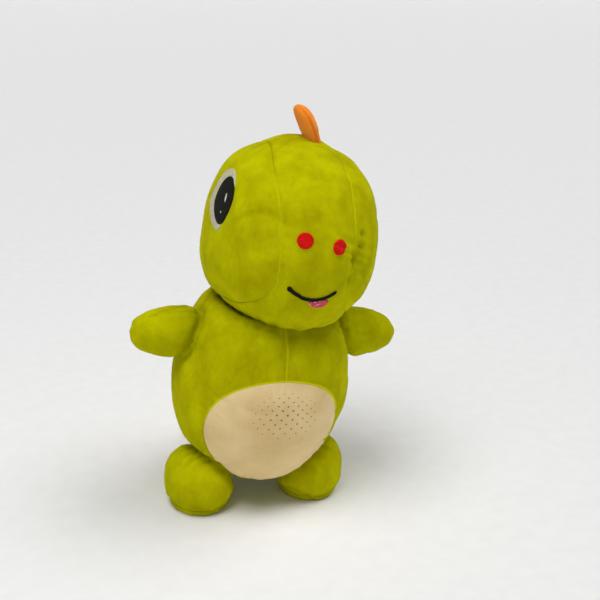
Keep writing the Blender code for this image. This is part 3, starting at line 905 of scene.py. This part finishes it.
def add_panel(name, form, dirs, cad, material=GREEN, slot_name="green_plush", wrap=True):
    """A closed panel of plush over a grid of directions, whose first row is at a seam."""
    rows, columns = dirs.shape[:2]
    points, normals, relief = form.shaped(dirs)
    outer = form.trimmed(points)
    backing = sorted({0, 3, *range(6, rows - 1, 5), rows - 4, rows - 1})
    inner = form.trimmed(points - normals * PLUSH)[backing]
    # Painted shade, strongest at the seams and along the creases where forms are sewn together.
    near = np.zeros((rows, columns))
    for d, _ in form.seams(dirs):
        near = np.maximum(near, np.exp(-d / SHADE_REACH))
    for d, _, _ in form.creases(points):
        near = np.maximum(near, JOIN_SHADE * np.exp(-d / JOIN_SHADE_REACH))
    # The painted highlight along lit seams takes away their painted shade; hollows in the relief
    # get painted shade and raised ridges a painted highlight.
    lit = form.lit_seams(dirs)
    hollow = np.clip((-HOLLOW_START - relief) / HOLLOW_DEPTH, 0, HOLLOW_SHADE)
    near = np.maximum(near * (1 - lit), hollow)
    lit = np.maximum(lit, np.clip((relief - RIDGE_START) / RIDGE_HEIGHT, 0, RIDGE_SHINE))
    count = rows * columns
    faces = grid_faces(rows, columns, 0, wrap)
    faces += [face[::-1] for face in grid_faces(len(backing), columns, count, wrap)]
    last = count + (len(backing) - 1) * columns
    for c in range(columns if wrap else columns - 1):
        after = (c + 1) % columns
        faces.append([c, count + c, count + after, after])
        top = (rows - 1) * columns
        faces.append([top + after, last + after, last + c, top + c])
    if not wrap:
        for low in range(len(backing) - 1):
            for c in (0, columns - 1):
                rim = [r * columns + c for r in range(backing[low], backing[low + 1] + 1)]
                faces.append([*rim, count + (low + 1) * columns + c, count + low * columns + c])
    obj = new_object(name, points_of(outer, inner), faces)
    for attribute, values in (("painted_shade", near), ("lit_seam", lit)):
        both = np.concatenate((values.ravel(), values[backing].ravel()))
        point_values(obj, attribute, both)
    finish_piece(obj, material, slot_name, form.name, *cad)


def around_grid(count):
    return 2 * pi * (np.arange(count) + 0.5) / count


def level_edge(angle):
    """An edge at the same angle from the pole all round."""
    return lambda around: 0 * around + angle


def cap_panel(
    name, form, pole, zero, edge, total, columns, cad, material=GREEN, slot_name="green_plush",
):
    """A panel that fills all within its edge round a pole."""
    around = around_grid(columns)
    share = spaced(total, SEAM_STEP, BROAD_STEP)[:, None]
    angle = edge(around)[None, :] * (1 - share)
    dirs = polar(pole, zero, angle, around)
    add_panel(name, form, dirs, cad, material, slot_name)


def band_panel(name, form, pole, zero, start, end, total, columns, cad):
    """A panel all round a pole between two edges."""
    around = around_grid(columns)
    share = both_ends(total, SEAM_STEP, BROAD_STEP)[:, None]
    angle = start(around) + (end(around) - start(around)) * share
    dirs = polar(pole, zero, angle, around)
    add_panel(name, form, dirs, cad)


band_panel(
    "head_centre_plush", head, LEFT, FORWARD,
    lambda around: pi / 2 - head_seam("left", -around),
    lambda around: pi / 2 + head_seam("right", -around), 0.066, 280, ["head_centre_panel"],
)
for side_name, side in SIDES.items():
    cap_panel(
        f"head_side_plush_{side_name}", head, LEFT * side, FORWARD,
        lambda around: pi / 2 - head_seam(side_name, -side * around), 0.105, 260,
        [f"head_side_panel_{side_name}"],
    )
for side_name, side in SIDES.items():
    share = both_ends(pi * 0.070, SEAM_STEP, TORSO_STEP)
    around = -side * share * pi
    down = spaced(0.190, SEAM_STEP, TORSO_STEP)[:, None]
    angle = belly_edge(around)[None, :] * (1 - down) + pi * down
    dirs = polar(BELLY_POLE, BELLY_UP, angle, around)
    add_panel(f"torso_plush_{side_name}", torso, dirs, [f"torso_panel_{side_name}"], wrap=False)
cap_panel(
    "belly_plush", torso, BELLY_POLE, BELLY_UP, belly_edge, 0.064, 200, ["belly_panel"], CREAM,
    "cream_plush",
)
for side_name in SIDES:
    arm, leg = arms[side_name], legs[side_name]
    for panel, pole in (("front", arm.front), ("back", -arm.front)):
        cap_panel(
            f"arm_{side_name}_{panel}_plush", arm, pole, UP, level_edge(pi / 2), 0.045, 110,
            [f"arm_{side_name}_{panel}_panel"],
        )
    cap_panel(
        f"leg_{side_name}_sole_plush", leg, -UP, FORWARD, level_edge(SOLE_ANGLE), 0.035, 110,
        [f"leg_{side_name}_sole"],
    )
    around = around_grid(130)
    down = spaced(0.095, SEAM_STEP, LEG_STEP)[:, None]
    angle = SOLE_ANGLE + (pi - SOLE_ANGLE) * down + 0 * around
    add_panel(
        f"leg_{side_name}_upper_plush", leg, polar(-UP, FORWARD, angle, around),
        [f"leg_{side_name}_upper_panel"],
    )
    cap_panel(
        f"tail_plush_{side_name}", tail, LEFT * SIDES[side_name], UP, level_edge(pi / 2), 0.075,
        150, [f"tail_panel_{side_name}"],
    )


def add_filling(form):
    """The fibre filling, close inside the plush."""
    columns, rows = 48, 30
    around = around_grid(columns)
    angle = np.linspace(0, pi, rows)[:, None] + 0 * around
    dirs = polar(UP, LEFT, angle, around)
    inside = form.world(dirs * form.reach(dirs)[..., None]) - form.normals(dirs) * FILL_INSET
    inside = form.trimmed(inside)
    inside = inside + (form.centre - inside) * FILL_SHRINK
    faces = grid_faces(rows, columns)
    obj = new_object(f"{form.name}_filling", inside.reshape(-1, 3), faces)
    finish_piece(obj, FILLING, "filling", form.name, f"{form.name}_stuffing")


for form in (torso, head, tail, *arms.values(), *legs.values()):
    add_filling(form)


# ---- face ----
def face_direction(turn, rise):
    turn, rise = np.radians(turn), np.radians(rise)
    return np.stack((np.sin(turn) * np.cos(rise), -np.cos(turn) * np.cos(rise), np.sin(rise)), -1)


def on_face(centre, s, t, lift):
    """Points above the head's skin, across and up from a place on the face."""
    reach = head.reach(centre)
    across = unit(np.cross(UP, centre))
    up = unit(np.cross(centre, across))
    s, t = np.asarray(s)[..., None], np.asarray(t)[..., None]
    points, normals = head.skin(unit(centre * reach + across * s + up * t))
    return points + normals * np.asarray(lift)[..., None]


PAD_ROUNDING = 0.0007
PAD_BEAD, PAD_BEAD_PLACE = 0.0002, 0.0013
PAD_ROOT = 0.0012


def add_pad(name, centre, outline, place, level, thickness, material, slot_name, cad):
    """An embroidered pad with a rounded rim, raised above the skin or the pad below it."""
    share = 1 - spaced(1.0, 0.015, 0.1)[:, None]
    s = place[0] + share * outline[:, 0]
    t = place[1] + share * outline[:, 1]
    size = np.abs(outline).max()
    inward = (1 - share) * size + 0 * outline[:, 0]
    lift = level + thickness * (1 - np.exp(-(inward / PAD_ROUNDING)))
    lift = lift + PAD_BEAD * bell(inward - PAD_BEAD_PLACE, PAD_ROUNDING)
    top = on_face(centre, s, t, lift)
    backing = [0, 3, -1]
    under = on_face(centre, s[backing], t[backing], 0 * lift[backing] + level - PAD_ROOT)
    rows, columns = s.shape
    faces = grid_faces(rows, columns)
    count = rows * columns
    faces += [face[::-1] for face in grid_faces(len(backing), columns, count)]
    faces += [[c, count + c, count + (c + 1) % columns, (c + 1) % columns] for c in range(columns)]
    obj = new_object(name, points_of(top, under), faces)
    flat = np.stack((s, t, 0 * s), -1)
    point_values(obj, "stitch", points_of(flat, flat[backing]), "FLOAT_VECTOR", "vector")
    finish_piece(obj, material, slot_name, "head", cad)


def oval(half_width, half_height, lean=0.0, point=0.0, bulge=0.0, count=72):
    """An oval outline, pointed below and fuller on one side."""
    around = 2 * pi * np.arange(count) / count
    s, t = half_width * np.sin(around), half_height * np.cos(around)
    s = s * (1 + point * np.minimum(t / half_height, 0.0))
    s = np.where(s * bulge < 0, s * (1 + abs(bulge)), s)
    lean = radians(lean)
    return np.stack((s * cos(lean) - t * sin(lean), s * sin(lean) + t * cos(lean)), -1)


# Eyes and nostrils: degrees round from straight ahead, and up. Each eye's parts are then placed
# in metres from its middle: forward, and up.
EYES = {"right": (76, 20), "left": (91, 17)}
NOSTRILS = {"right": (-11.2, 9.6), "left": (7.6, 7.6)}
NOSTRIL_RADIUS = 0.0069
EYE_LEAN = 16
WHITE_HALVES, WHITE_POINT, WHITE_BULGE = (0.0185, 0.0295), 0.45, 0.30
PUPIL_HALVES, PUPIL_POINT = (0.0145, 0.0219), 0.20
WHITE_PLACE = (0.0, 0.0015)
PUPIL_PLACE = (0.0051, 0.0015)
GLINTS = {
    "large": ((0.0092, 0.0046), (0.0010, 0.0042)),
    "small": ((0.0090, -0.0085), (0.0006, 0.0013)),
}
for side_name, side in SIDES.items():
    centre = face_direction(side * EYES[side_name][0], EYES[side_name][1])
    lean = -side * EYE_LEAN
    add_pad(
        f"eye_white_pad_{side_name}", centre,
        oval(*WHITE_HALVES, lean, WHITE_POINT, -side * WHITE_BULGE),
        (-side * WHITE_PLACE[0], WHITE_PLACE[1]), 0.0001, 0.0007, WHITE, "cream_thread",
        f"eye_white_{side_name}",
    )
    add_pad(
        f"eye_pupil_pad_{side_name}", centre, oval(*PUPIL_HALVES, lean, PUPIL_POINT),
        (-side * PUPIL_PLACE[0], PUPIL_PLACE[1]), 0.0007, 0.0006, BLACK, "black_thread",
        f"eye_pupil_{side_name}",
    )
    for size, (place, halves) in GLINTS.items():
        add_pad(
            f"eye_glint_pad_{size}_{side_name}", centre, oval(*halves, lean, count=28),
            (-side * place[0], place[1]), 0.0012, 0.0004, GLINT, "cream_thread",
            f"eye_glint_{size}_{side_name}",
        )
    add_pad(
        f"nostril_pad_{side_name}", face_direction(*NOSTRILS[side_name]),
        oval(NOSTRIL_RADIUS, NOSTRIL_RADIUS), (0, 0), 0.0002, 0.0014, RED, "red_thread",
        f"nostril_{side_name}",
    )


MOUTH_TURN, MOUTH_HALF = -2.7, 13.4
MOUTH_RISE, SMILE = -20.8, 5.0
MOUTH_RADIUS = 0.0016
MOUTH_LIFT = 0.0007
THREAD_PITCH = 0.0016


def add_mouth():
    """A smile of twisted black thread, with a knot at its thicker end."""
    steps, sides = 90, 12
    share = np.linspace(-1, 1, steps)
    turn = MOUTH_TURN + MOUTH_HALF * share
    rise = MOUTH_RISE + SMILE * share ** 2
    points, normals = head.skin(face_direction(turn, rise))
    points = points + normals * MOUTH_LIFT
    along = unit(np.gradient(points, axis=0))
    across = unit(np.cross(along, normals))
    out = np.cross(across, along)
    radius = MOUTH_RADIUS - 0.0002 * share + 0.0006 * bell(share + 0.93, 0.07)
    radius = radius * np.sqrt(np.clip(1 - np.abs(share) ** 30, 0.02, 1))
    length = np.cumsum(np.linalg.norm(np.diff(points, axis=0, prepend=points[:1]), axis=1))
    twist = 0.00012 * np.cos(2 * pi * length / THREAD_PITCH)
    angle = full_turn(sides)
    ring = (radius + twist)[:, None, None]
    tube = points[:, None] + ring * (
        out[:, None] * np.cos(angle)[:, None] * 0.8 + across[:, None] * np.sin(angle)[:, None])
    faces = grid_faces(steps, sides) + [list(range(sides))[::-1]]
    faces.append([(steps - 1) * sides + i for i in range(sides)])
    obj = new_object("mouth_thread", tube.reshape(-1, 3), faces)
    where = np.zeros((steps, sides, 3))
    where[..., 0] = length[:, None]
    where[..., 1] = angle * 0.0018
    point_values(obj, "stitch", where, "FLOAT_VECTOR", "vector")
    finish_piece(obj, BLACK, "black_thread", "head", "mouth_line")


add_mouth()
TONGUE_HALVES = (0.0092, 0.0056)
TONGUE_AT = (1.9, -22.3)
tongue = oval(*TONGUE_HALVES, count=64)
tongue[:, 1] = np.where(tongue[:, 1] > 0, tongue[:, 1] * 0.45, tongue[:, 1] * 1.25)
add_pad(
    "tongue_felt", face_direction(*TONGUE_AT), tongue, (0, 0.0012), 0.0001, 0.0010, PINK,
    "pink_glitter", "tongue",
)


# ---- foil dots ----
DOT_PITCH = (0.0105, 0.0052)
DOT_CENTRE = (0.004, 0.0307)
DOT_REACH = 0.036
DOT_RADIUS = 0.00115
DOT_SHIFT, DOT_SEED = 0.0006, 7
DOT_SIDES = 10


def add_dots():
    """Foil dots in staggered rows over the upper belly, smaller towards the rim of their patch."""
    noise.seed_set(DOT_SEED)
    points, faces = [], []
    ring = full_turn(DOT_SIDES)
    circle = BELLY_SIDE * np.cos(ring)[:, None] + BELLY_UP * np.sin(ring)[:, None]
    for row in range(-8, 9):
        for column in range(-5, 6):
            s = (column + 0.5 * (row % 2)) * DOT_PITCH[0]
            t = row * DOT_PITCH[1]
            off = np.hypot(s, t * 1.25) / DOT_REACH
            if off > 1:
                continue
            shift = noise.noise_vector(Vector((s * 900, t * 900, 3.0)))
            s, t = s + DOT_CENTRE[0] + DOT_SHIFT * shift.x, t + DOT_CENTRE[1] + DOT_SHIFT * shift.y
            radius = DOT_RADIUS * (1 - 0.55 * off ** 1.5)
            middle = BELLY_POLE * TORSO_SIZE - BELLY_SIDE * s + BELLY_UP * t
            start = len(points)
            for share, lift in ((1.0, -0.0002), (0.85, 0.00016), (0.0, 0.00022)):
                found, normals = torso.skin(unit(middle + circle * radius * share))
                points.extend(found + normals * lift)
            faces.extend(grid_faces(3, DOT_SIDES, start))
    obj = new_object("belly_foil_dots", points, faces)
    finish_piece(obj, FOIL, "cream_plush", "torso")


add_dots()


# ---- plates ----
# A full-size plate's half thickness, height, half length, droop of its tip and how deep its foot
# is sunk into the skin, in metres; FOOT_CURVE bends the foot to the skin.
PLATE_THICK = 0.0068
PLATE_HEIGHT = 0.0330
PLATE_LENGTH = 0.0170
PLATE_DROOP = 0.0045
PLATE_SUNK, PLATE_FOOT = -0.0105, -0.0090
FOOT_CURVE = 6.0
FOOT_TAPER = 0.120


def add_plate(name, host_form, size, flop):
    """A stuffed petal of two halves sewn round their rim, on the skin behind its foot."""
    joint = JOINTS[f"{name}_flop"]
    pivot = np.array(joint["pos_m"])
    along = unit(np.array(joint["axis"]))
    middle = host_form.turn @ LEFT
    square = unit(np.cross(along, np.cross(pivot - host_form.centre, along)))
    square = unit(np.cross(np.cross(along, square), along))
    cosine, sine = cos(radians(flop)), sin(radians(flop))
    out = unit(square * cosine + middle * sine)
    across = unit(np.cross(out, along))
    thick = PLATE_THICK * size
    height, length = PLATE_HEIGHT * size - thick, PLATE_LENGTH * size
    rising = np.linspace(PLATE_FOOT * size, height * 0.985, 36)
    rise = np.concatenate(([PLATE_SUNK * size], rising, [height]))
    share = np.clip(rise / height, 0, 1)
    round_it = full_turn(56)
    c, s = np.cos(round_it), np.sin(round_it)
    swell = (1 - share ** 2.6) ** 0.55
    chord = length * np.where(rise < 0, 1.0 + rise / FOOT_TAPER, swell + 0.05 * np.sin(pi * share))
    sag = (1 - share)[:, None] ** 2 * (c * chord[:, None]) ** 2 * FOOT_CURVE
    width = thick * np.maximum((1 - share ** 4.5) ** 0.5, 0.02) * np.where(rise < 0, 0.9, 1.0)
    lens = np.sign(s) * np.abs(s) ** 0.9
    groove = 1 - 0.09 * bell(s, 0.13)
    puff = 1 - 0.10 * bell(np.abs(s) - 0.25, 0.16)
    bend = 0.10 * height * share ** 2
    droop = PLATE_DROOP * size * share ** 2.2
    fall = middle * np.sign(flop) - out * abs(flop) / 50
    wide, deep = chord[:, None, None], width[:, None, None]
    points = (
        pivot + out * (rise[:, None] - sag)[:, :, None] + along * (c * groove)[:, None] * wide
        + across * (lens * puff)[:, None] * deep
        + across * (0.06 * np.sin(4 * c)[:, None] * deep * share[:, None, None])
        - along * bend[:, None, None] * 0.25 + fall * droop[:, None, None]
    )
    rows, columns = points.shape[:2]
    faces = grid_faces(rows, columns)
    faces += [list(range(columns))[::-1], [(rows - 1) * columns + i for i in range(columns)]]
    obj = new_object(f"{name}_plush", points.reshape(-1, 3), faces)
    # Painted shade along the plate's rim, where its two halves are sewn together.
    near = np.broadcast_to(bell(np.abs(s), 0.16) * 1.8, (rows, columns))
    point_values(obj, "painted_shade", near)
    rounding = obj.modifiers.new("round", "SUBSURF")
    rounding.levels = rounding.render_levels = 1
    finish_piece(obj, ORANGE, "orange_plush", name, name)


# Each plate's host, its size against the full one, and the degrees it leans over at rest.
for name, form, size, flop in (
    ("head_plate_1", head, 1.0, -28),
    ("head_plate_2", head, 0.92, -6),
    ("head_plate_3", head, 0.84, 4),
    ("back_plate_1", torso, 0.92, -3),
    ("back_plate_2", torso, 0.92, 5),
    ("tail_plate_1", tail, 0.84, -4),
    ("tail_plate_2", tail, 0.70, 3),
):
    add_plate(name, form, size, flop)


# ---- floor, light and camera ----
FLOOR_RADIUS = 9.0
BACKDROP_RADIUS = 15.0
BACKDROP_HEIGHT = 6.0
BACKDROP_RINGS, BACKDROP_SIDES = 24, 96
AMBIENT = 0.08
SOFTBOX_PLACE, SOFTBOX_AIM, SOFTBOX_SIZE, SOFTBOX_POWER = (-0.34, -0.36, 1.00), 0.30, 0.35, 1.35
# The two broad lamps: where they hang, how wide they look from the toy, and their strength.
SUNS = {"key": ((-0.36, -0.28, 1.45), 30, 1.42), "top": ((0.55, -0.10, 1.3), 30, 1.16)}
SUN_AIM = 0.18


def above_stand(height):
    return Vector((STAND[0], STAND[1], height))


def add_aimed(name, data, place, direction):
    """A lamp or the camera in its place, looking along a direction."""
    made = in_scene(name, data)
    made.location = place
    made.rotation_mode = "QUATERNION"
    made.rotation_quaternion = direction.to_track_quat("-Z", "Y")
    return made


def add_floor():
    """A pale floor that curves up all round into its own backdrop."""
    look = Look("pale_floor", (0.85, 0.85, 0.85), Roughness=0.9, Specular_IOR_Level=0.1)
    grain = look.noise(look.coordinates(), 60, 4)
    colour = look.mix(look.ranged(grain, 0.3, 0.7), (0.84, 0.84, 0.84), (0.87, 0.87, 0.87))
    paper = look.finish(colour, grain, 0.1, 0.0004)
    radius = np.linspace(FLOOR_RADIUS, BACKDROP_RADIUS, BACKDROP_RINGS)
    width = BACKDROP_RADIUS - FLOOR_RADIUS
    rise = (radius - FLOOR_RADIUS) ** 2 / width ** 2 * BACKDROP_HEIGHT
    turn = full_turn(BACKDROP_SIDES)
    x, y = np.outer(radius, np.cos(turn)), np.outer(radius, np.sin(turn))
    rings = np.stack([x, y, np.outer(rise, np.ones(BACKDROP_SIDES))], axis=-1)
    faces = [list(range(BACKDROP_SIDES))]
    faces += [face[::-1] for face in grid_faces(BACKDROP_RINGS, BACKDROP_SIDES)]
    floor = new_object("floor", rings.reshape(-1, 3), faces)
    floor.data.shade_smooth()
    floor.data.materials.append(paper)


def add_lights():
    world = bpy.data.worlds.new("studio")
    bpy.context.scene.world = world
    world.use_nodes = True
    background = world.node_tree.nodes["Background"]
    background.inputs["Color"].default_value = (1, 1, 1, 1)
    background.inputs["Strength"].default_value = AMBIENT
    softbox = bpy.data.lights.new("softbox", "AREA")
    softbox.size = SOFTBOX_SIZE
    softbox.energy = SOFTBOX_POWER
    direction = above_stand(SOFTBOX_AIM) - Vector(SOFTBOX_PLACE)
    add_aimed("softbox", softbox, SOFTBOX_PLACE, direction)
    for name, (place, softness, power) in SUNS.items():
        sun = bpy.data.lights.new(name, "SUN")
        sun.angle = radians(softness)
        sun.energy = power
        add_aimed(name, sun, place, above_stand(SUN_AIM) - Vector(place))


CAMERA_AZIMUTH = radians(-14.915)
CAMERA_RISE = radians(21.698)
CAMERA_DISTANCE = 0.9546
CAMERA_AIM = 0.17
CAMERA_LENS = 60.783
CAMERA_SHIFT = (0.0821, 0.0487)


def add_camera():
    back = Vector((
        sin(CAMERA_AZIMUTH) * cos(CAMERA_RISE), -cos(CAMERA_AZIMUTH) * cos(CAMERA_RISE),
        sin(CAMERA_RISE),
    ))
    place = above_stand(CAMERA_AIM) + back * CAMERA_DISTANCE
    camera = add_aimed("camera", bpy.data.cameras.new("camera"), place, -back)
    camera.data.lens = CAMERA_LENS
    camera.data.sensor_width = 36.0
    camera.data.shift_x, camera.data.shift_y = CAMERA_SHIFT
    bpy.context.scene.camera = camera


add_floor()
add_lights()
add_camera()
bpy.context.scene.view_settings.view_transform = "Standard"
